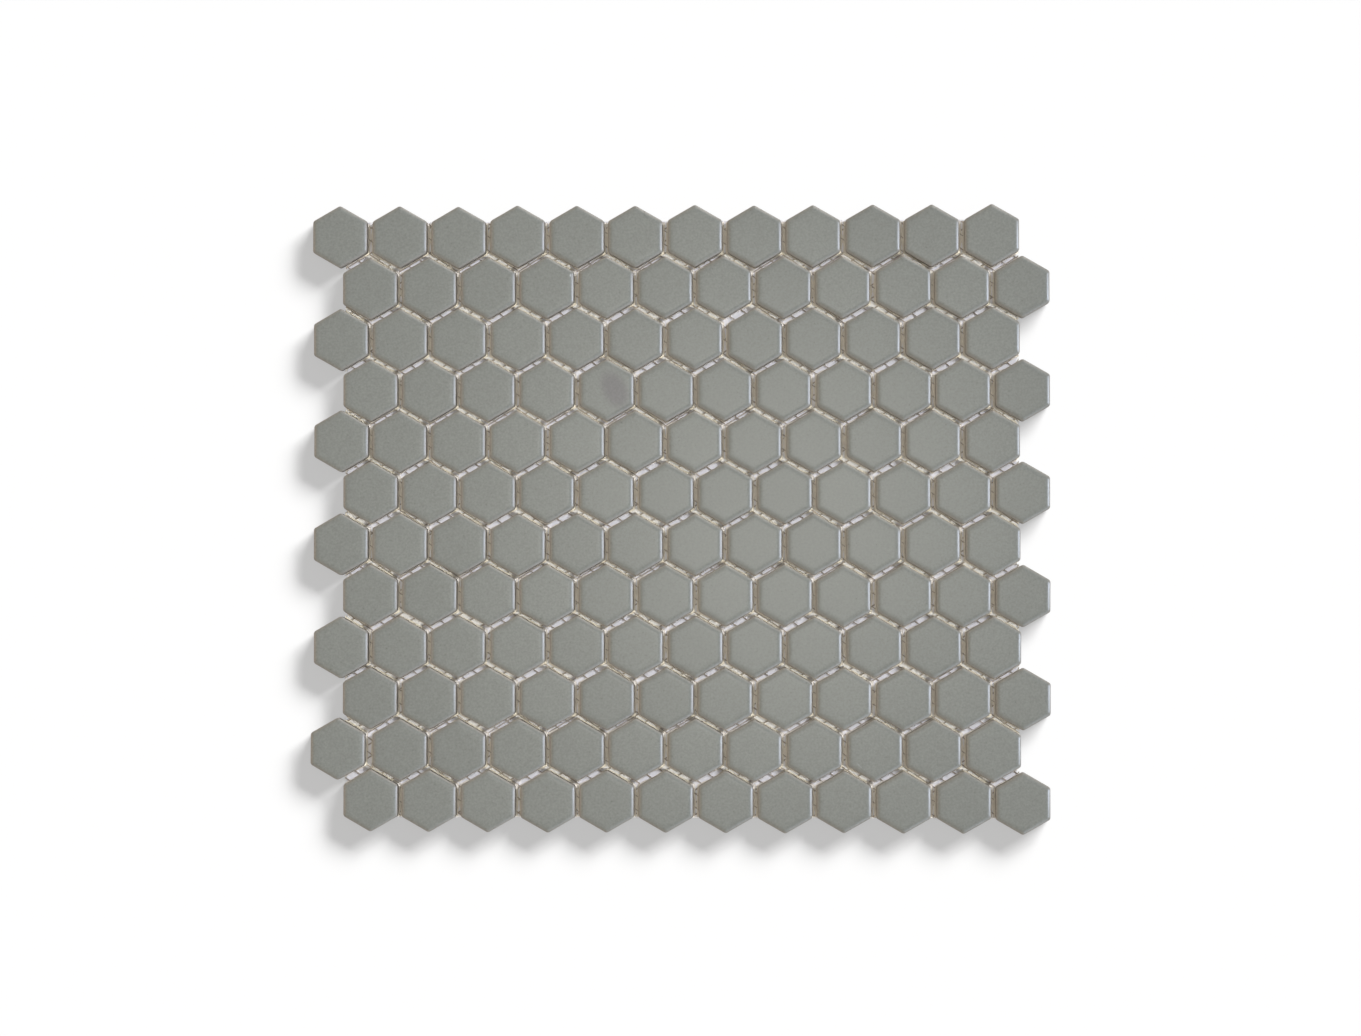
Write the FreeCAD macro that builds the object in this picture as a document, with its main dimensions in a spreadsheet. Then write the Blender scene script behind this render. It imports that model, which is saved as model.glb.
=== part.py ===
import FreeCAD, Part
import os

import Sketcher
from FreeCAD import Vector

# Mosaic tile sheet: twelve rows of small porcelain hexagons, point up, bonded to a glass-fibre net.
# The origin is the middle of the tile pattern on the underside of the net.
# +X runs along the rows, +Y towards the first row and +Z out of the tiles' faces.

DRIVING_SIZES = {
    # One tile, a pressed hexagon with a cushioned rim
    "tile_flats": 23.0,
    "tile_depth": 5.5,
    "corner_ease": 0.25,
    "arris_plan": 0.8,
    "arris_drop": 0.7,
    "cushion_plan": 1.6,
    "cushion_drop": 0.25,
    # The laying pattern, with one tile that slipped along its row
    "joint_width": 3.0,
    "tiles_per_row": 12,
    "row_count": 12,
    "slipped_row_up": 2,
    "slip_left": 1.3,
    # The net, one layer of flat strands laid across another on the bias, with angles in degrees from the rows
    "strand_width": 0.7,
    "strand_depth": 0.25,
    "shortest_strand": 15.0,
    "falling_angle": 34.0,
    "falling_spacing": 5.06,
    "falling_shift": -0.1,
    "rising_angle": 31.7,
    "rising_spacing": 4.61,
    "rising_shift": 1.8,
}

# Lengths that follow from the driving sizes
TILE_PITCH = "(Sizes.tile_flats + Sizes.joint_width)"
ROW_PITCH = f"({TILE_PITCH} * sqrt(3) / 2)"
FIRST_TILE_X = f"(-(Sizes.tiles_per_row - 0.5) / 2 * {TILE_PITCH})"
BEYOND_TILE = "Sizes.tile_flats"
WALL_TOP = "(Sizes.tile_depth - Sizes.cushion_drop - Sizes.arris_drop)"
SHOULDER_LEVEL = "(Sizes.tile_depth - Sizes.cushion_drop)"

# The net ends level with the flanks of the rows that are set in, and with the outer rows' shoulders
NET_LENGTH = f"((Sizes.tiles_per_row - 0.5) * {TILE_PITCH} - Sizes.joint_width)"
NET_HEIGHT = f"((Sizes.row_count - 1) * {ROW_PITCH} + Sizes.tile_flats / sqrt(3))"


def make_sizes(doc):
    """The sheet of driving sizes, one named cell each."""
    sizes = doc.addObject("Spreadsheet::Sheet", "Sizes")
    for line, (name, size) in enumerate(DRIVING_SIZES.items(), start=1):
        sizes.set(f"A{line}", name)
        sizes.set(f"B{line}", str(size))
        sizes.setAlias(f"B{line}", name)
    doc.recompute()
    return sizes


def make_body(doc, label):
    body = doc.addObject("PartDesign::Body", label)
    body.Label = label
    body.AllowCompound = True
    return body


def place_body(body, along, across, up):
    """Tie the body's place to the sheet."""
    body.setExpression("Placement.Base.x", along)
    body.setExpression("Placement.Base.y", across)
    body.setExpression("Placement.Base.z", up)


def origin_part(body, role):
    return next(item for item in body.Origin.OriginFeatures if item.Role == role)


def sketch_on(body, name, plane):
    sketch = body.newObject("Sketcher::SketchObject", name)
    sketch.AttachmentSupport = (origin_part(body, plane), "")
    sketch.MapMode = "FlatFace"
    return sketch


def measure(sketch, length):
    """The present value of a length that is written in terms of the sheet."""
    return float(sketch.evalExpression(length))


def draw_outline(sketch, corners):
    """A closed chain of lines through the corners; gives the lines' numbers."""
    lines = []
    for number, corner in enumerate(corners):
        following = corners[(number + 1) % len(corners)]
        lines.append(sketch.addGeometry(Part.LineSegment(corner, following), False))
    for line, following in zip(lines, lines[1:] + lines[:1]):
        sketch.addConstraint(Sketcher.Constraint("Coincident", line, 2, following, 1))
    return lines


def drive(sketch, name, length, *constraint):
    """Add a dimension to the sketch and tie it to the sheet."""
    dimension = Sketcher.Constraint(*constraint, measure(sketch, length))
    sketch.renameConstraint(sketch.addConstraint(dimension), name)
    sketch.setExpression(f"Constraints.{name}", length)


def draw_hexagon(sketch):
    """A regular hexagon about the sketch's origin, point up, set by its distance across flats."""
    point = Vector(0, measure(sketch, "Sizes.tile_flats / sqrt(3)"), 0)
    corners = [FreeCAD.Rotation(Vector(0, 0, 1), -60 * turn).multVec(point) for turn in range(6)]
    draw_outline(sketch, corners)
    ring = sketch.addGeometry(Part.Circle(Vector(0, 0, 0), Vector(0, 0, 1), point.Length), True)
    sketch.addConstraint(Sketcher.Constraint("Coincident", ring, 3, -1, 1))
    for line in range(6):
        sketch.addConstraint(Sketcher.Constraint("PointOnObject", line, 1, ring))
    for line in range(1, 6):
        sketch.addConstraint(Sketcher.Constraint("Equal", 0, line))
    sketch.addConstraint(Sketcher.Constraint("Vertical", 1))
    drive(sketch, "AcrossFlats", "Sizes.tile_flats", "Distance", 4, 1, 1)


def draw_slanting_band(sketch, name, width, end_height, rise, falls=False):
    """A band about the sketch's origin with upright ends; its right end is higher by the rise, or lower."""
    half_width = measure(sketch, width) / 2
    half_end = measure(sketch, end_height) / 2
    half_rise = measure(sketch, rise) / 2 * (-1 if falls else 1)
    under, right, over, left = draw_outline(sketch, [
        Vector(-half_width, -half_rise - half_end, 0),
        Vector(half_width, half_rise - half_end, 0),
        Vector(half_width, half_rise + half_end, 0),
        Vector(-half_width, half_end - half_rise, 0),
    ])
    sketch.addConstraint(Sketcher.Constraint("Vertical", right))
    sketch.addConstraint(Sketcher.Constraint("Vertical", left))
    sketch.addConstraint(Sketcher.Constraint("Symmetric", under, 1, over, 1, -1, 1))
    drive(sketch, f"{name}Width", width, "DistanceX", under, 1, under, 2)
    drive(sketch, f"{name}End", end_height, "DistanceY", right, 1, right, 2)
    if rise == "0":
        sketch.addConstraint(Sketcher.Constraint("Horizontal", under))
    elif falls:
        drive(sketch, f"{name}Rise", rise, "DistanceY", under, 2, under, 1)
    else:
        drive(sketch, f"{name}Rise", rise, "DistanceY", under, 1, under, 2)


def draw_cut_profile(sketch, corners):
    """What is taken off the tile, seen from its end: each corner's name, reach from the axis and level."""
    draw_outline(sketch, [
        Vector(measure(sketch, reach), measure(sketch, level), 0) for _, reach, level in corners
    ])
    for line, (name, reach, level) in enumerate(corners):
        drive(sketch, f"{name}Reach", reach, "DistanceX", -1, 1, line, 1)
        if level == "0":
            sketch.addConstraint(Sketcher.Constraint("PointOnObject", line, 1, -1))
        else:
            drive(sketch, f"{name}Level", level, "DistanceY", -1, 1, line, 1)


def pad_up(body, name, sketch, depth):
    pad = body.newObject("PartDesign::Pad", name)
    pad.Profile = sketch
    pad.setExpression("Length", depth)
    return pad


def cut_round_tile(doc, body, name, plane, corners):
    """Cut a profile straight past the tile and repeat it all round, six times."""
    before = body.Shape.Volume
    profile = sketch_on(body, f"{name}_profile", plane)
    draw_cut_profile(profile, corners)
    pocket = body.newObject("PartDesign::Pocket", f"{name}_cut")
    pocket.Profile = profile
    pocket.SideType = "Symmetric"
    pocket.setExpression("Length", f"2 * {BEYOND_TILE}")
    doc.recompute()
    after_one = body.Shape.Volume
    around = body.newObject("PartDesign::PolarPattern", f"{name}_cuts")
    around.Originals = [pocket]
    around.Axis = (origin_part(body, "Z_Axis"), [""])
    around.Angle = 360
    around.Occurrences = 6
    body.Tip = around
    doc.recompute()
    if not body.Shape.Volume < after_one < before:
        raise RuntimeError(f"{body.Label}: {name} cuts nothing off the tile")


def make_tile(doc, body):
    """One pressed tile: a hexagonal blank, its rim cushioned and its corners eased."""
    outline = sketch_on(body, "outline", "XY_Plane")
    draw_hexagon(outline)
    pad_up(body, "blank", outline, "Sizes.tile_depth")
    doc.recompute()
    side_reach = "(Sizes.tile_flats / 2)"
    shoulder_reach = f"({side_reach} - Sizes.arris_plan)"
    # The arris falls away steeply and the cushion above it gently
    cut_round_tile(doc, body, "side", "XZ_Plane", [
        ("Outside", BEYOND_TILE, WALL_TOP),
        ("Wall", side_reach, WALL_TOP),
        ("Shoulder", shoulder_reach, SHOULDER_LEVEL),
        ("Crown", f"({shoulder_reach} - Sizes.cushion_plan)", "Sizes.tile_depth"),
        ("Above", BEYOND_TILE, "Sizes.tile_depth"),
    ])
    corner_reach = "(Sizes.tile_flats / sqrt(3) - Sizes.corner_ease)"
    cut_round_tile(doc, body, "corner", "YZ_Plane", [
        ("Outside", BEYOND_TILE, "0"),
        ("Foot", corner_reach, "0"),
        ("Top", corner_reach, "Sizes.tile_depth"),
        ("Above", BEYOND_TILE, "Sizes.tile_depth"),
    ])


def repeat_along(doc, body, axis, spacing, count):
    """Repeat the body's shape in a straight line, from its own place onwards."""
    line = body.newObject("PartDesign::LinearPattern", "line")
    line.TransformMode = "Whole shape"
    line.Direction = (origin_part(body, axis), [""])
    line.Mode = "Spacing"
    line.setExpression("Offset", spacing)
    line.setExpression("Occurrences", count)
    body.Tip = line
    doc.recompute()


def make_tile_row(doc, label, first_x, row_y, count):
    """A run of like tiles on the net, one joint apart."""
    body = make_body(doc, label)
    make_tile(doc, body)
    if count != "1":
        repeat_along(doc, body, "X_Axis", TILE_PITCH, count)
    place_body(body, first_x, row_y, "2 * Sizes.strand_depth")
    return body


def make_tile_rows(doc, sizes):
    """All rows from the top down; every second one is set in by half a pitch."""
    row_count = int(sizes.get("row_count"))
    slipped_row = row_count + 1 - int(sizes.get("slipped_row_up"))
    rows = []
    for row in range(1, row_count + 1):
        label = f"tile_row_{row:02d}"
        first_x = FIRST_TILE_X if row % 2 else f"({FIRST_TILE_X} + {TILE_PITCH} / 2)"
        row_y = f"(((Sizes.row_count + 1) / 2 - {row}) * {ROW_PITCH})"
        if row == slipped_row:
            slipped_x = f"({first_x} - Sizes.slip_left)"
            rows.append(make_tile_row(doc, "slipped_tile", slipped_x, row_y, "1"))
            second_x = f"({first_x} + {TILE_PITCH})"
            rows.append(make_tile_row(doc, label, second_x, row_y, "Sizes.tiles_per_row - 1"))
        else:
            rows.append(make_tile_row(doc, label, first_x, row_y, "Sizes.tiles_per_row"))
    return rows


def trim_net(doc, body):
    """Cut off what stands out past the net's upper and lower edges."""
    beyond = sketch_on(body, "beyond", "XY_Plane")
    clear_width = f"({NET_LENGTH} + 2 * {BEYOND_TILE})"
    draw_slanting_band(beyond, "Net", clear_width, NET_HEIGHT, "0")
    draw_slanting_band(beyond, "Waste", f"({clear_width} + 2 * {BEYOND_TILE})", f"(3 * {NET_HEIGHT})", "0")
    pocket = body.newObject("PartDesign::Pocket", "trimming")
    pocket.Profile = beyond
    pocket.SideType = "Symmetric"
    pocket.setExpression("Length", "4 * Sizes.strand_depth")
    body.Tip = pocket
    doc.recompute()


def make_strands(doc, label, lie, level):
    """One layer of the net: flat slanting strands side by side, cut off at the net's edges."""
    angle = f"Sizes.{lie}_angle"
    step = f"(Sizes.{lie}_spacing / cos({angle}))"
    rise = f"({NET_LENGTH} * tan({angle}))"
    corner_gap = f"(Sizes.shortest_strand * sin({angle}))"
    pairs = f"floor((({NET_HEIGHT} + {rise}) / 2 - {corner_gap}) / {step})"
    body = make_body(doc, label)
    outline = sketch_on(body, "outline", "XY_Plane")
    outline.setExpression("AttachmentOffset.Base.y", f"Sizes.{lie}_shift - {pairs} * {step}")
    end_height = f"(Sizes.strand_width / cos({angle}))"
    draw_slanting_band(outline, "Strand", NET_LENGTH, end_height, rise, lie == "falling")
    pad_up(body, "strand", outline, "Sizes.strand_depth")
    doc.recompute()
    repeat_along(doc, body, "Y_Axis", step, f"2 * {pairs} + 1")
    trim_net(doc, body)
    place_body(body, "0", "0", level)
    return body


def make_net(doc):
    """The warp lies underneath and falls to the right, and the weft on it rises to the right."""
    return [
        make_strands(doc, "net_warp", "falling", "0"),
        make_strands(doc, "net_weft", "rising", "Sizes.strand_depth"),
    ]


def check_model(doc, bodies):
    """Stop before anything is written if a feature failed or a solid is unsound."""
    for item in doc.Objects:
        if "Invalid" in item.State or "Error" in item.State:
            raise RuntimeError(f"{item.Label} didn't compute: {item.State}")
    for body in bodies:
        if body.Shape.isNull() or not body.Shape.isValid() or not body.Shape.Solids:
            raise RuntimeError(f"{body.Label} has no sound solid")


def export_bodies(bodies):
    os.makedirs("parts", exist_ok=True)
    for body in bodies:
        body.Shape.exportStep(f"parts/{body.Label}.step")
        box = body.Shape.BoundBox
        print(f"{body.Label}: {len(body.Shape.Solids)} solids, {body.Shape.Volume:.1f} mm3,"
              f" x {box.XMin:.2f} to {box.XMax:.2f}, y {box.YMin:.2f} to {box.YMax:.2f},"
              f" z {box.ZMin:.2f} to {box.ZMax:.2f}")


document = FreeCAD.newDocument("mosaic_tile_sheet")
sheet = make_sizes(document)
pieces = make_net(document) + make_tile_rows(document, sheet)
document.recompute()
check_model(document, pieces)
export_bodies(pieces)
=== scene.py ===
"""The looks of a mosaic tile sheet: hexagon tiles on a glass-fibre net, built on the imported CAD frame."""

import math
import random

import bmesh
import bpy
from mathutils import Matrix, Vector


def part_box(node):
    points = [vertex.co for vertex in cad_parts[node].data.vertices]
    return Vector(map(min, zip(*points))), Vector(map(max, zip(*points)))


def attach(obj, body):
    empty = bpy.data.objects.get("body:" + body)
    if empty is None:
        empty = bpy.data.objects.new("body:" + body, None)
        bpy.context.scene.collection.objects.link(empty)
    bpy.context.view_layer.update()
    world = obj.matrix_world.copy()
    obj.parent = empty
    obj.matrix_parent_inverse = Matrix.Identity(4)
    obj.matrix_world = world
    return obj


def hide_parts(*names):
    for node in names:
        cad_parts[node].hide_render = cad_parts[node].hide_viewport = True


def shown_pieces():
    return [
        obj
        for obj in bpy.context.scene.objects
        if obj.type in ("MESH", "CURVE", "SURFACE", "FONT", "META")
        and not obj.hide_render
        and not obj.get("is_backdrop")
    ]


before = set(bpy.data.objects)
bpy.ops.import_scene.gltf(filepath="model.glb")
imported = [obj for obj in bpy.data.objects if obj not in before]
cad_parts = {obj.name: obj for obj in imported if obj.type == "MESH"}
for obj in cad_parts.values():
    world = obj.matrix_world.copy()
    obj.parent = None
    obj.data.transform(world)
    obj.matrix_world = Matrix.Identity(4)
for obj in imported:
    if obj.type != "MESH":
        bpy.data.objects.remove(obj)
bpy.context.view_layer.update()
MM = 0.001


# The tiles: small pressed porcelain hexagons, 12 in each of 12 staggered rows. A satin sage-grey
# glaze covers the crown and runs a little way down the sides, where the sage-brown body is bare.
# They were set face down in a tray and the net was glued on, so each sits a hair out of its place.
TILE_FLATS = 23.8 * MM
TILE_PITCH = 26 * MM
CORNER_CUT = 0.8 * MM
CORNER_STEPS = 3
FOOT_EASE = 0.25 * MM
RIM_DROP = 0.95 * MM
# How far each ring of the rim lies in from the tile's sides, and how far below its crown.
RIM_RINGS = (
    (0.06 * MM, 0.78 * MM),
    (0.18 * MM, 0.65 * MM),
    (0.4 * MM, 0.53 * MM),
    (0.85 * MM, 0.305 * MM),
    (1.2 * MM, 0.16 * MM),
    (1.6 * MM, 0.07 * MM),
    (2.2 * MM, 0.015 * MM),
    (3.2 * MM, 0),
)
BACK_BORDER = 3.2 * MM
BACK_RECESS = 0.35 * MM
net_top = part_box("net_weft")[1].z
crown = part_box("tile_row_01")[1].z


def extrude_face(shape, face, keep_old=False):
    """Extrudes the face, takes the old one out of the shape's inside, and returns the new one."""
    extruded = bmesh.ops.extrude_face_region(shape, geom=[face])["geom"]
    if not keep_old:
        bmesh.ops.delete(shape, geom=[face], context="FACES_ONLY")
    return next(part for part in extruded if isinstance(part, bmesh.types.BMFace))


def edge_middle(edge):
    """The middle of an edge in plan."""
    first, second = edge.verts
    return ((first.co + second.co) / 2).xy


def set_ring(shape, face, inset, height, keep_old=False):
    """Extrudes the face to the tile's next ring, which lies in from the sides and at that height."""
    face = extrude_face(shape, face, keep_old)
    flats = 2 * min(math.hypot(*edge_middle(edge)) for edge in face.edges)
    grow = (TILE_FLATS - 2 * inset) / flats
    bmesh.ops.scale(shape, verts=face.verts, vec=(grow, grow, 1))
    bmesh.ops.translate(shape, verts=face.verts, vec=(0, 0, height - face.verts[0].co.z))
    return face


def make_tile(depth):
    """One tile about its own middle, back at height 0: a hexagon with a point up, corners eased."""
    shape = bmesh.new()
    bmesh.ops.create_circle(shape, cap_ends=True, segments=6, radius=TILE_FLATS / math.sqrt(3))
    bmesh.ops.bevel(
        shape,
        geom=shape.verts[:],
        offset=CORNER_CUT,
        affect="VERTICES",
        segments=CORNER_STEPS,
        profile=0.5,
        material=-1,
    )
    shape.faces.ensure_lookup_table()
    back = shape.faces[0]
    foot = (TILE_FLATS - 2 * FOOT_EASE) / TILE_FLATS
    bmesh.ops.scale(shape, verts=back.verts, vec=(foot, foot, 1))
    face = set_ring(shape, back, 0, FOOT_EASE, keep_old=True)
    face = set_ring(shape, face, 0, depth - RIM_DROP)
    for inset, drop in RIM_RINGS:
        face = set_ring(shape, face, inset, depth - drop)
    under = set_ring(shape, back, FOOT_EASE + BACK_BORDER, 0)
    set_ring(shape, under, FOOT_EASE + BACK_BORDER + BACK_RECESS, BACK_RECESS)
    bmesh.ops.recalc_face_normals(shape, faces=shape.faces[:])
    rim = shape.verts.layers.float.new("rim")
    shape.verts.layers.float.new("tone")
    for vertex in shape.verts:
        vertex[rim] = min(1, max(0, (depth - vertex.co.z) / RIM_DROP))
    mesh = bpy.data.meshes.new("tile")
    shape.to_mesh(mesh)
    shape.free()
    return mesh


def add_copy(shape, mesh):
    """Adds a copy of the mesh to the shape and returns the copy's vertices."""
    count = len(shape.verts)
    shape.from_mesh(mesh)
    shape.verts.ensure_lookup_table()
    return shape.verts[count:]


CRISP_FROM = math.radians(42)


def add_piece(name, shape, material, slot, *nodes):
    """Finishes a shape as a piece of the sheet, smooth but for its crisp edges; it stands for the nodes."""
    mesh = bpy.data.meshes.new(name)
    shape.to_mesh(mesh)
    shape.free()
    mesh.shade_smooth()
    mesh.set_sharp_from_angle(angle=CRISP_FROM)
    mesh.materials.append(material)
    piece = bpy.data.objects.new(name, mesh)
    bpy.context.scene.collection.objects.link(piece)
    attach(piece, "root")
    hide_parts(*nodes)


def place_node(tree, kind, feeds=(), **settings):
    """Adds a shader node. Feeds pairs its inputs with plain values or with the sockets that feed them."""
    node = tree.nodes.new(kind)
    for setting, value in settings.items():
        setattr(node, setting, value)
    for key, feed in dict(feeds).items():
        if isinstance(feed, bpy.types.NodeSocket):
            tree.links.new(feed, node.inputs[key])
        else:
            node.inputs[key].default_value = feed
    return node


def work_out(tree, operation, *feeds):
    """A Math node's result."""
    return place_node(tree, "ShaderNodeMath", enumerate(feeds), operation=operation).outputs[0]


def mix_colour(tree, share, first, second):
    """A colour that goes from the first to the second with the share."""
    feeds = {0: share, 6: first, 7: second}
    return place_node(tree, "ShaderNodeMix", feeds, data_type="RGBA").outputs[2]


def fade(tree, value, start, end):
    """A mask that goes smoothly from 0 where the value is at start to 1 where it is at end."""
    feeds = {"Value": value, "From Min": start, "From Max": end}
    node = place_node(tree, "ShaderNodeMapRange", feeds, interpolation_type="SMOOTHSTEP")
    return node.outputs["Result"]


def new_group(name, inputs, outputs):
    """A shader node group with named sockets, and its input and output nodes."""
    tree = bpy.data.node_groups.new(name, "ShaderNodeTree")
    for socket, kind in inputs:
        tree.interface.new_socket(socket, in_out="INPUT", socket_type=kind)
    for socket, kind in outputs:
        tree.interface.new_socket(socket, in_out="OUTPUT", socket_type=kind)
    return tree, tree.nodes.new("NodeGroupInput"), tree.nodes.new("NodeGroupOutput")


def make_mottle_group():
    """Soft uneven tone: a shade about 1 that strays by the given share, in blots of the given size."""
    sockets = [("Place", "NodeSocketVector"), ("Size", "NodeSocketFloat"), ("Share", "NodeSocketFloat")]
    tree, given, result = new_group("Mottle", sockets, [("Shade", "NodeSocketFloat")])
    scale = work_out(tree, "DIVIDE", 1, given.outputs["Size"])
    feeds = {"Vector": given.outputs["Place"], "Scale": scale, "Detail": 2, "Roughness": 0.5}
    noise = place_node(tree, "ShaderNodeTexNoise", feeds)
    stray = work_out(tree, "MULTIPLY_ADD", noise.outputs["Fac"], 2, -1)
    shade = work_out(tree, "MULTIPLY_ADD", stray, given.outputs["Share"], 1)
    tree.links.new(shade, result.inputs["Shade"])
    return tree


def make_mark_group():
    """One mark on a known place: a mask that is 1 inside a turned oval and fades out at its edge."""
    sockets = [
        ("Place", "NodeSocketVector"),
        ("Centre", "NodeSocketVector"),
        ("Half size", "NodeSocketVector"),
        ("Turn", "NodeSocketFloat"),
    ]
    tree, given, result = new_group("Mark", sockets, [("Mask", "NodeSocketFloat")])
    feeds = {0: given.outputs["Place"], 1: given.outputs["Centre"]}
    from_centre = place_node(tree, "ShaderNodeVectorMath", feeds, operation="SUBTRACT").outputs[0]
    feeds = {"Vector": from_centre, "Angle": given.outputs["Turn"]}
    turned = place_node(tree, "ShaderNodeVectorRotate", feeds, rotation_type="Z_AXIS").outputs[0]
    feeds = {0: turned, 1: given.outputs["Half size"]}
    shrunk = place_node(tree, "ShaderNodeVectorMath", feeds, operation="DIVIDE").outputs[0]
    reach = place_node(tree, "ShaderNodeVectorMath", {0: shrunk}, operation="LENGTH").outputs["Value"]
    tree.links.new(fade(tree, reach, 1, 0.4), result.inputs["Mask"])
    return tree


def new_material(name):
    """An empty material with its shader, and the place on the piece that its patterns follow."""
    material = bpy.data.materials.new(name)
    material.use_nodes = True
    tree = material.node_tree
    shader = next(node for node in tree.nodes if node.type == "BSDF_PRINCIPLED")
    place = tree.nodes.new("ShaderNodeTexCoord").outputs["Object"]
    return material, tree, shader, place


MOTTLE = make_mottle_group()
MARK = make_mark_group()


def place_group(tree, group, feeds):
    """Places a node group in a material and returns its one output."""
    return place_node(tree, "ShaderNodeGroup", feeds, node_tree=group).outputs[0]


GLAZE = (0.258, 0.269, 0.234, 1)
THIN_GLAZE = (0.365, 0.325, 0.265, 1)
BODY = (0.25, 0.235, 0.205, 1)
SMUDGE = (0.205, 0.2, 0.189, 1)
SCRATCH = (0.36, 0.36, 0.34, 1)
CHIP = (0.6, 0.6, 0.57, 1)
# The marks: each one's middle and half its size in millimetres, its turn, how much it covers, its colour.
MARKS = (
    ((-28.6, 56.4), (7, 11.5), -0.5, 0.9, SMUDGE),
    ((78.4, -108), (0.35, 2.2), math.radians(-45), 0.7, SCRATCH),
    ((-48.2, 106.9), (0.45, 0.8), 0.1, 1, CHIP),
)
BATCH_STRAY = 0.016
THINNING = 1.4
GLAZE_ENDS = (4.2 * MM, 3.5 * MM)
GLAZE_ROUGHNESS = 0.31
BARE_ROUGHER = 0.35


def make_glaze():
    """Satin sage glaze over a sage-brown body, with the few marks that this sheet's tiles have."""
    material, tree, shader, place = new_material("satin_sage_glaze")
    tone = place_node(tree, "ShaderNodeAttribute", attribute_name="tone").outputs["Fac"]
    rim = place_node(tree, "ShaderNodeAttribute", attribute_name="rim").outputs["Fac"]
    batch = work_out(tree, "MULTIPLY_ADD", tone, BATCH_STRAY, 1)
    grain = place_group(tree, MOTTLE, {"Place": place, "Size": 0.9 * MM, "Share": 0.24})
    cloud = place_group(tree, MOTTLE, {"Place": place, "Size": 9 * MM, "Share": 0.03})
    shade = work_out(tree, "MULTIPLY", work_out(tree, "MULTIPLY", batch, grain), cloud)
    colour = mix_colour(tree, work_out(tree, "POWER", rim, THINNING), GLAZE, THIN_GLAZE)
    for (x, y), (half_width, half_height), turn, cover, paint in MARKS:
        feeds = {"Place": place, "Centre": (x * MM, y * MM, crown), "Turn": turn}
        feeds["Half size"] = (half_width * MM, half_height * MM, 1)
        mask = work_out(tree, "MULTIPLY", place_group(tree, MARK, feeds), cover)
        colour = mix_colour(tree, mask, colour, paint)
    height = place_node(tree, "ShaderNodeSeparateXYZ", {0: place}).outputs["Z"]
    run = place_group(tree, MOTTLE, {"Place": place, "Size": 2.5 * MM, "Share": 0.25})
    glaze_line = work_out(tree, "MULTIPLY", height, run)
    bare = fade(tree, glaze_line, *GLAZE_ENDS)
    colour = mix_colour(tree, bare, colour, BODY)
    shaded = place_node(tree, "ShaderNodeVectorMath", {0: colour, "Scale": shade}, operation="SCALE")
    tree.links.new(shaded.outputs[0], shader.inputs["Base Color"])
    satin = work_out(tree, "MULTIPLY", grain, GLAZE_ROUGHNESS)
    rough = work_out(tree, "MULTIPLY_ADD", bare, BARE_ROUGHER, satin)
    tree.links.new(rough, shader.inputs["Roughness"])
    bump = place_node(tree, "ShaderNodeBump", {"Strength": 0.25, "Distance": 0.06 * MM, "Height": grain})
    tree.links.new(bump.outputs["Normal"], shader.inputs["Normal"])
    return material


SEED = 20
SET_ASTRAY = 0.16 * MM
TURN_ASTRAY = math.radians(0.2)
TILT_ASTRAY = math.radians(0.12)
# How far the sheet leans to the left with each tile pitch upwards, and sags with each to the right.
SHEET_SKEW = 0.0415 * MM
COLUMN_SAG = 0.02 * MM
tile = make_tile(crown - net_top)
glaze = make_glaze()
chance = random.Random(SEED)


def stray(spread):
    """A chance step either way, mostly within the spread and never beyond twice that."""
    return max(-2 * spread, min(2 * spread, chance.gauss(0, spread)))


def set_tile(shape, x, y):
    """Sets one tile on the net, a little out of place, turned and tilted as the real ones are."""
    fresh = add_copy(shape, tile)
    tone = shape.verts.layers.float["tone"]
    shade = stray(1)
    for vertex in fresh:
        vertex[tone] = shade
    tilt = Matrix.Rotation(stray(TILT_ASTRAY), 4, "X") @ Matrix.Rotation(stray(TILT_ASTRAY), 4, "Y")
    turn = Matrix.Rotation(stray(TURN_ASTRAY), 4, "Z")
    skew = Vector((-y / TILE_PITCH * SHEET_SKEW, -x / TILE_PITCH * COLUMN_SAG, 0))
    where = Vector((x + stray(SET_ASTRAY), y + stray(SET_ASTRAY), net_top)) + skew
    set_down.append(where)
    bmesh.ops.transform(shape, matrix=Matrix.Translation(where) @ turn @ tilt, verts=fresh)


set_down = []
tile_nodes = sorted(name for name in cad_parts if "tile" in name)
one_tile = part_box("slipped_tile")
for node in tile_nodes:
    low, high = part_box(node)
    row = bmesh.new()
    x = low.x + (one_tile[1].x - one_tile[0].x) / 2
    while x < high.x:
        set_tile(row, x, (low.y + high.y) / 2)
        x += TILE_PITCH
    add_piece(f"{node}_glazed", row, glaze, "porcelain", node)


# The net's warp: pairs of glass-fibre yarns in a dried coating. The net is laid on the bias, so they
# fall to the right. The two yarns of a pair cross over at each weft yarn and grip it between them.
YARN = (0.4, 0.35, 0.29)
YARN_WIDTH = 0.34 * MM
YARN_DEPTH = 0.17 * MM
YARN_SIDES = 5
SHORTEST_YARN = 15 * MM
PAIR_SWING = 0.16 * MM
PAIR_DIP = 0.35
WANDER = 0.13 * MM
WARP_WAVE = 21 * MM
# Each layer's angle to the rows, the distance between its yarns, and how far up its middle one lies.
WARP_LAYOUT = (math.radians(-34), 5.06 * MM, -0.1 * MM)
WEFT_LAYOUT = (math.radians(31.7), 4.61 * MM, 1.8 * MM)
net_low, net_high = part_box("net_warp")[0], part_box("net_weft")[1]
middle = (net_low.z + net_high.z) / 2


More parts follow.
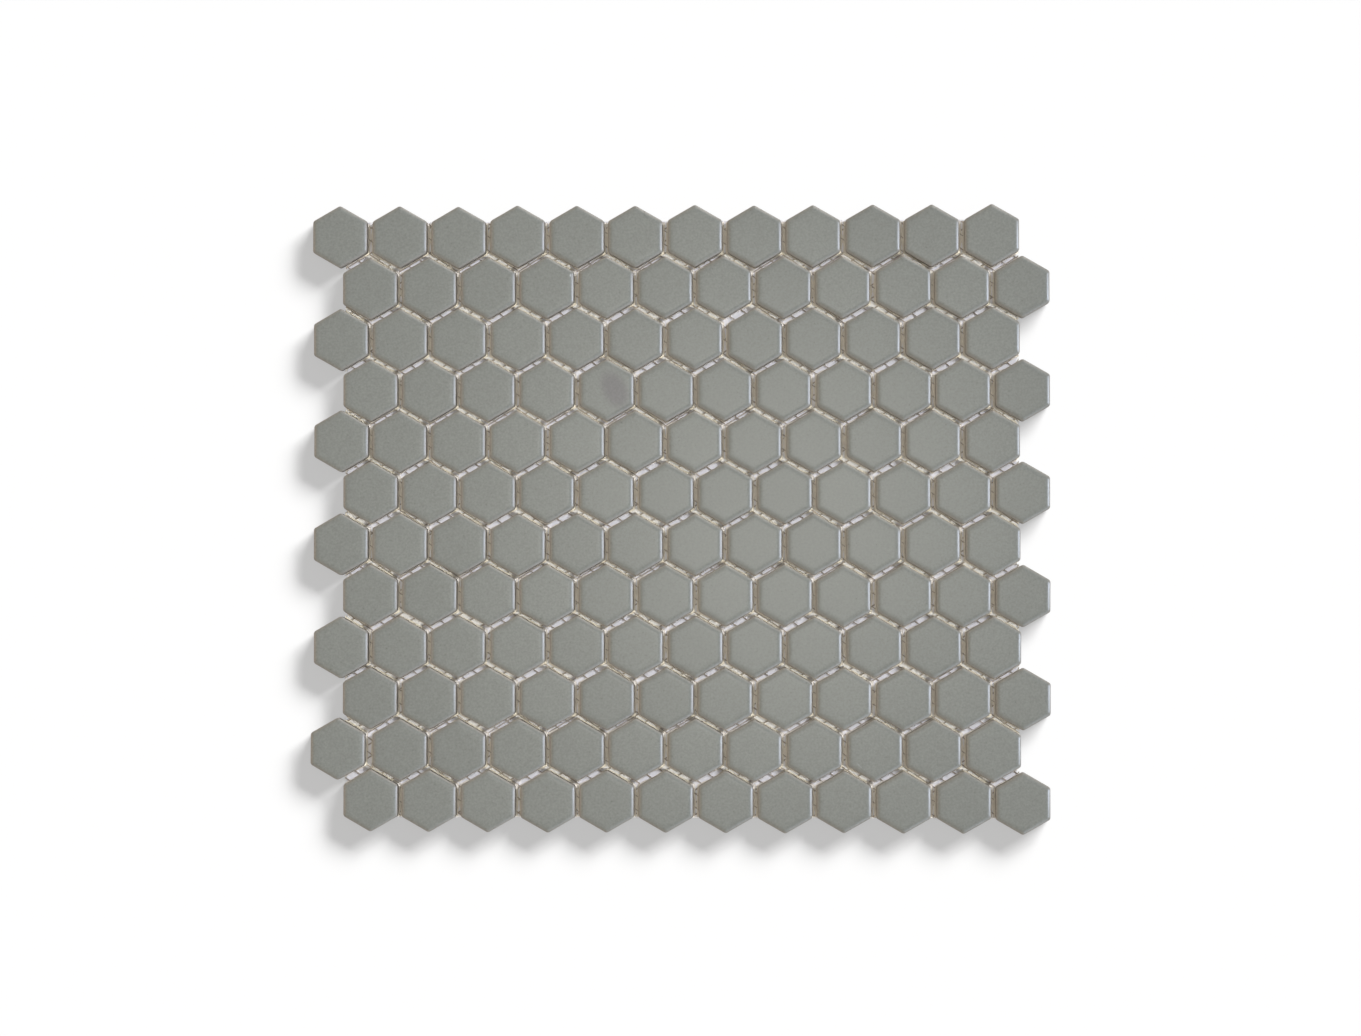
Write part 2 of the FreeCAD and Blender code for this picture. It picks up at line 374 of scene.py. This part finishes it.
def lay_out(angle, spacing, shift):
    """The ends of a layer's parallel yarns, cut off at the net's edges."""
    steepness = math.tan(angle)
    step = spacing / math.cos(angle)
    highest = net_high.y + abs(steepness) * net_high.x
    for number in range(-int(highest / step), int(highest / step) + 1):
        rise = shift + number * step
        at_edges = sorted(((net_low.y - rise) / steepness, (net_high.y - rise) / steepness))
        left = max(net_low.x, at_edges[0])
        right = min(net_high.x, at_edges[1])
        if (right - left) / math.cos(angle) > SHORTEST_YARN:
            start = Vector((left, left * steepness + rise, middle))
            yield start, Vector((right, right * steepness + rise, middle))


def add_yarn(layer, size, sides, ends, cell, path):
    """Adds a closed flat yarn; path gives how far it strays sideways and up at each distance along."""
    start, end = ends
    forward = (end - start).normalized()
    sideways = Vector((-forward.y, forward.x, 0))
    width, depth = size
    steps = max(2, round((end - start).length / cell))
    shape = bmesh.new()
    ring = bmesh.ops.create_circle(shape, cap_ends=True, segments=sides, radius=0.5)["verts"]
    lie = Matrix((sideways * width, Vector((0, 0, depth)), forward)).transposed().to_4x4()
    bmesh.ops.transform(shape, matrix=Matrix.Translation(start) @ lie, verts=shape.verts[:])
    extruded = bmesh.ops.extrude_face_region(shape, geom=[ring[0].link_faces[0]])["geom"]
    far = [part for part in extruded if isinstance(part, bmesh.types.BMVert)]
    bmesh.ops.translate(shape, verts=far, vec=end - start)
    lengthways = [edge for edge in shape.edges if edge.calc_length() > cell]
    bmesh.ops.subdivide_edges(shape, edges=lengthways, cuts=steps - 1)
    for vertex in shape.verts:
        aside, up = path((vertex.co - start).dot(forward))
        vertex.co += sideways * aside
        vertex.co.z += up
    bmesh.ops.recalc_face_normals(shape, faces=shape.faces[:])
    mesh = bpy.data.meshes.new("yarn")
    shape.to_mesh(mesh)
    shape.free()
    layer.from_mesh(mesh)


def make_yarn_coat(name, angle):
    """Coated glass fibre: a dull greyish beige with streaks along the yarn and uneven coating."""
    material, tree, shader, place = new_material(name)
    feeds = {"Vector": place, "Angle": -angle}
    turned = place_node(tree, "ShaderNodeVectorRotate", feeds, rotation_type="Z_AXIS")
    feeds = {0: turned.outputs[0], 1: (0.06, 1, 1)}
    streaks = place_node(tree, "ShaderNodeVectorMath", feeds, operation="MULTIPLY")
    fibre = place_group(tree, MOTTLE, {"Place": streaks.outputs[0], "Size": 0.12 * MM, "Share": 0.35})
    coat = place_group(tree, MOTTLE, {"Place": place, "Size": 3 * MM, "Share": 0.25})
    shade = work_out(tree, "MULTIPLY", fibre, coat)
    colour = place_node(tree, "ShaderNodeVectorMath", {0: YARN, "Scale": shade}, operation="SCALE")
    tree.links.new(colour.outputs[0], shader.inputs["Base Color"])
    tree.links.new(work_out(tree, "MULTIPLY", coat, 0.5), shader.inputs["Roughness"])
    bump = place_node(tree, "ShaderNodeBump", {"Strength": 0.5, "Distance": 0.03 * MM, "Height": fibre})
    tree.links.new(bump.outputs["Normal"], shader.inputs["Normal"])
    return material


skew_angle = WEFT_LAYOUT[0] - WARP_LAYOUT[0]
warp_cell = WEFT_LAYOUT[1] / math.sin(skew_angle)
weft_cell = WARP_LAYOUT[1] / math.sin(skew_angle)
reach = middle - YARN_DEPTH / 2
warp = bmesh.new()
for ends in lay_out(*WARP_LAYOUT):
    phase = chance.uniform(0, 2 * math.pi)
    for side in (-1, 1):
        def run_warp(along):
            swing = math.cos(math.pi * along / warp_cell)
            wander = WANDER * math.sin(along / WARP_WAVE + phase)
            return side * PAIR_SWING * swing + wander, side * reach * (1 - PAIR_DIP * swing * swing)

        add_yarn(warp, (YARN_WIDTH, YARN_DEPTH), YARN_SIDES, ends, warp_cell / 3, run_warp)
add_piece("net_warp_yarns", warp, make_yarn_coat("warp_coat", WARP_LAYOUT[0]), "net", "net_warp")


# The net's weft: single flat yarns that rise to the right, gripped by the warp pairs and bonded to
# them by the same coating. Both sets end in cut edges level with the outer tiles' shoulders.
WEFT_SIZE = (0.62 * MM, 0.16 * MM)
WEFT_SIDES = 6
WEFT_WAVE = 19 * MM
weft = bmesh.new()
for ends in lay_out(*WEFT_LAYOUT):
    phase = chance.uniform(0, 2 * math.pi)

    def run_weft(along):
        return WANDER * math.sin(along / WEFT_WAVE + phase), 0

    add_yarn(weft, WEFT_SIZE, WEFT_SIDES, ends, weft_cell / 2, run_weft)
add_piece("net_weft_yarns", weft, make_yarn_coat("weft_coat", WEFT_LAYOUT[0]), "net", "net_weft")


# The adhesive: a cream glue that dried as a thin film under each tile, where it holds the net's yarns,
# and as a bead squeezed out along the tile's foot. Most of it went into the upright joints, where the
# beads of two tiles meet. It ends where the net ends.
ADHESIVE = (0.8, 0.75, 0.65)
BEAD_STEPS = 5
BEAD_STRAY = 0.15
# The bead's outline, hollow and top: how far out each lies as a share of its width, and how high.
BEAD_RINGS = ((1, -0.12 * MM), (0.4, 0.1 * MM), (-0.1, 0.45 * MM))
# How far the bead reaches out from each of the tile's six sides, anticlockwise from the right one.
BEAD_WIDTHS = (1.2 * MM, 0.6 * MM, 0.2 * MM, 1.2 * MM, 0.5 * MM, 0.15 * MM)


def bead_width(point):
    """The bead's width at a point of the tile's outline; at a corner it is midway between its sides'."""
    turn = math.degrees(math.atan2(point.y, point.x))
    sides = (round((turn + 15) / 60) % 6, round((turn - 15) / 60) % 6)
    return sum(BEAD_WIDTHS[side] for side in sides) / 2


def make_bead(place):
    """The adhesive of one tile: a hexagon film with a hollow, uneven bead around the tile's foot."""
    shape = bmesh.new()
    bmesh.ops.create_circle(shape, cap_ends=True, segments=6, radius=TILE_FLATS / math.sqrt(3))
    bmesh.ops.subdivide_edges(shape, edges=shape.edges[:], cuts=BEAD_STEPS - 1)
    shape.faces.ensure_lookup_table()
    foot = shape.faces[0]
    face = extrude_face(shape, foot, keep_old=True)
    hollow_ring = face.verts[:]
    face = extrude_face(shape, face)
    for rings in zip(foot.verts, hollow_ring, face.verts):
        outline = rings[0].co.copy()
        width = bead_width(outline) * (1 + stray(BEAD_STRAY))
        for vertex, (spread, height) in zip(rings, BEAD_RINGS):
            vertex.co = outline * (1 + 2 * spread * width / TILE_FLATS)
            vertex.co.z = height
    bmesh.ops.translate(shape, verts=shape.verts[:], vec=place)
    for vertex in shape.verts:
        vertex.co.x = min(net_high.x, max(net_low.x, vertex.co.x))
        vertex.co.y = min(net_high.y, max(net_low.y, vertex.co.y))
    bmesh.ops.dissolve_degenerate(shape, dist=0.002 * MM, edges=shape.edges[:])
    bmesh.ops.recalc_face_normals(shape, faces=shape.faces[:])
    if shape.calc_volume(signed=True) < 0:
        bmesh.ops.reverse_faces(shape, faces=shape.faces[:])
    mesh = bpy.data.meshes.new("bead")
    shape.to_mesh(mesh)
    shape.free()
    return mesh


def make_adhesive():
    """Dried glue: cream, slightly blotchy, with a dull skin."""
    material, tree, shader, place = new_material("dried_adhesive")
    blotch = place_group(tree, MOTTLE, {"Place": place, "Size": 2.2 * MM, "Share": 0.2})
    colour = place_node(tree, "ShaderNodeVectorMath", {0: ADHESIVE, "Scale": blotch}, operation="SCALE")
    tree.links.new(colour.outputs[0], shader.inputs["Base Color"])
    shader.inputs["Roughness"].default_value = 0.55
    return material


adhesive = bmesh.new()
for place in set_down:
    adhesive.from_mesh(make_bead(place))
add_piece("dried_adhesive", adhesive, make_adhesive(), "net")


# The floor, the white card right under the net that shows through its openings, and the light: a soft
# window at the right and weak lamps for the other rims, lamps along the three kinds of joint, a sky
# above, a pale room, and three low lamps that only lay the sheet's soft shadow on the floor.
FLOOR_WIDTH = 8
FLOOR_HEIGHT = -0.3 * MM
FLOOR_SHADE = 0.2
FLOOR_GLOW = 0.462
CARD = (0.93, 0.92, 0.93, 1)
CARD_SIZE = (294 * MM, 262 * MM)
CARD_HEIGHT = -0.05 * MM


def add_plane(name, width, depth, height, material):
    """A flat backdrop that isn't part of the sheet."""
    shape = bmesh.new()
    bmesh.ops.create_grid(shape, x_segments=1, y_segments=1, size=0.5)
    bmesh.ops.scale(shape, verts=shape.verts[:], vec=(width, depth, 1))
    bmesh.ops.translate(shape, verts=shape.verts[:], vec=(0, 0, height))
    mesh = bpy.data.meshes.new(name)
    shape.to_mesh(mesh)
    shape.free()
    mesh.materials.append(material)
    plane = bpy.data.objects.new(name, mesh)
    bpy.context.scene.collection.objects.link(plane)
    plane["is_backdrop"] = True
    return plane


def seen_directly(tree):
    """A mask that is 1 for rays from the camera and for what gloss or glass shows of the backdrop."""
    path = tree.nodes.new("ShaderNodeLightPath").outputs
    seen = work_out(tree, "MAXIMUM", path["Is Camera Ray"], path["Is Glossy Ray"])
    return work_out(tree, "MAXIMUM", seen, path["Is Transmission Ray"])


def make_floor_paint():
    """A pale matt floor that shows white where the low lamps reach it and grey in the shadow."""
    material = bpy.data.materials.new("pale_floor")
    material.use_nodes = True
    tree = material.node_tree
    tree.nodes.clear()
    matt = place_node(tree, "ShaderNodeBsdfDiffuse", {"Color": (FLOOR_SHADE,) * 3 + (1,)})
    glow = work_out(tree, "MULTIPLY", seen_directly(tree), FLOOR_GLOW)
    lit = place_node(tree, "ShaderNodeEmission", {"Strength": glow})
    both = place_node(tree, "ShaderNodeAddShader", {0: matt.outputs[0], 1: lit.outputs[0]})
    place_node(tree, "ShaderNodeOutputMaterial", {"Surface": both.outputs[0]})
    return material


def make_card_paint():
    """Plain white card."""
    material, _, shader, _ = new_material("white_card")
    shader.inputs["Base Color"].default_value = CARD
    shader.inputs["Roughness"].default_value = 0.9
    return material


floor = add_plane("floor", FLOOR_WIDTH, FLOOR_WIDTH, FLOOR_HEIGHT, make_floor_paint())
card = add_plane("card", *CARD_SIZE, CARD_HEIGHT, make_card_paint())


def towards(azimuth, elevation):
    """The direction at that many degrees from +X towards +Y, and above the floor."""
    turn, rise = math.radians(azimuth), math.radians(elevation)
    return Vector((math.cos(turn) * math.cos(rise), math.sin(turn) * math.cos(rise), math.sin(rise)))


def add_lamp(name, kind, azimuth, elevation, distance, energy, colour, lit, aim=(0, 0, 0)):
    """A lamp that looks at a point of the sheet and lights only the given objects."""
    lamp = bpy.data.lights.new(name, kind)
    lamp.energy = energy
    lamp.color = colour
    holder = bpy.data.objects.new(name, lamp)
    bpy.context.scene.collection.objects.link(holder)
    direction = towards(azimuth, elevation)
    holder.location = direction * distance + Vector(aim)
    holder.rotation_euler = direction.to_track_quat("Z", "Y").to_euler()
    reached = bpy.data.collections.new(f"{name}_reaches")
    for piece in lit:
        reached.objects.link(piece)
    holder.light_linking.receiver_collection = reached
    return lamp


def add_sun(name, azimuth, elevation, width, share, colour, lit):
    """A distant soft lamp that gives a level surface the given share of its light."""
    energy = share * math.pi / math.sin(math.radians(elevation))
    lamp = add_lamp(name, "SUN", azimuth, elevation, 2, energy, colour, lit)
    lamp.angle = math.radians(width)


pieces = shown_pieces()
tiles = [piece for piece in pieces if "tile" in piece.name]
joint_floor = [card] + [piece for piece in pieces if piece not in tiles]
add_sun("window", 2, 38, 14, 0.27, (0.88, 0.98, 1.2), tiles)
add_sun("on_upper_right_rims", 69, 27, 14, 0.095, (1.06, 1.0, 0.94), tiles)
add_sun("on_lower_right_rims", 303, 38, 20, 0.065, (0.86, 1.0, 1.2), tiles)
add_sun("on_left_rims", 180, 28, 20, 0.028, (1.35, 0.98, 0.8), tiles)
add_sun("along_upright_joints", 270, 62, 12, 0.13, (1.06, 1.0, 0.9), joint_floor)
add_sun("along_rising_joints", 32, 42, 14, 0.43, (0.96, 0.98, 1.08), joint_floor)
add_sun("along_falling_joints", 338, 42, 12, 0.47, (1.02, 1.0, 0.9), joint_floor)
SKY_DISTANCE = 1.8
SKY_SHARE = 0.075
SKY_POWER = SKY_SHARE * 4 * math.pi ** 2 * SKY_DISTANCE ** 2
SKY_COLOUR = (1.02, 0.99, 0.93)
SKY_AIM = (-0.02, 0.005, 0)
sky = add_lamp("sky", "SPOT", 42, 88, SKY_DISTANCE, SKY_POWER, SKY_COLOUR, [card] + pieces, SKY_AIM)
sky.shadow_soft_size = 0.12
sky.spot_size = math.radians(19)
sky.spot_blend = 1

# The shadow's lamps stand side by side, so that its edges blur evenly.
SHADOW_AZIMUTHS = (38, 49, 60)
SHADOW_ELEVATION = 19.6
SHADOW_ENERGY = 7.5
for azimuth in SHADOW_AZIMUTHS:
    name = f"shadow_lamp_{azimuth}"
    shadow_lamp = add_lamp(name, "SUN", azimuth, SHADOW_ELEVATION, 2, SHADOW_ENERGY, (1, 1, 1), [floor])
    shadow_lamp.angle = math.radians(14)

ROOM = 0.325
WARM_SIDE = (1.0, 0.87, 0.74, 1)
COOL_SIDE = (0.95, 0.98, 1.06, 1)
world = bpy.data.worlds.new("pale_room")
bpy.context.scene.world = world
world.use_nodes = True
tree = world.node_tree
backdrop = next(node for node in tree.nodes if node.type == "BACKGROUND")
direction = tree.nodes.new("ShaderNodeTexCoord").outputs["Generated"]
feeds = {0: direction, 1: towards(205, 10)}
warmth = place_node(tree, "ShaderNodeVectorMath", feeds, operation="DOT_PRODUCT").outputs["Value"]
tint = mix_colour(tree, fade(tree, warmth, -0.6, 0.8), COOL_SIDE, WARM_SIDE)
from_camera = tree.nodes.new("ShaderNodeLightPath").outputs["Is Camera Ray"]
tree.links.new(mix_colour(tree, from_camera, tint, (1, 1, 1, 1)), backdrop.inputs["Color"])
strength = work_out(tree, "MULTIPLY_ADD", seen_directly(tree), 1 - ROOM, ROOM)
tree.links.new(strength, backdrop.inputs["Strength"])

LENS_DISTANCE = 1.6546
LENS_OFFSET = (80 * MM, -36 * MM)
LOOKS_AT = Vector((0.18 * MM, 0.25 * MM, crown))
camera = bpy.data.cameras.new("camera")
camera.lens = 100
camera.sensor_width = 36
camera_holder = bpy.data.objects.new("camera", camera)
lens_height = math.sqrt(LENS_DISTANCE ** 2 - LENS_OFFSET[0] ** 2 - LENS_OFFSET[1] ** 2)
from_aim = Vector((*LENS_OFFSET, lens_height))
camera_holder.location = LOOKS_AT + from_aim
across = Vector((0, 1, 0)).cross(from_aim).normalized()
upright = from_aim.normalized().cross(across)
camera_holder.rotation_euler = Matrix((across, upright, from_aim.normalized())).transposed().to_euler()
bpy.context.scene.collection.objects.link(camera_holder)
bpy.context.scene.camera = camera_holder
bpy.context.scene.view_settings.view_transform = "Standard"
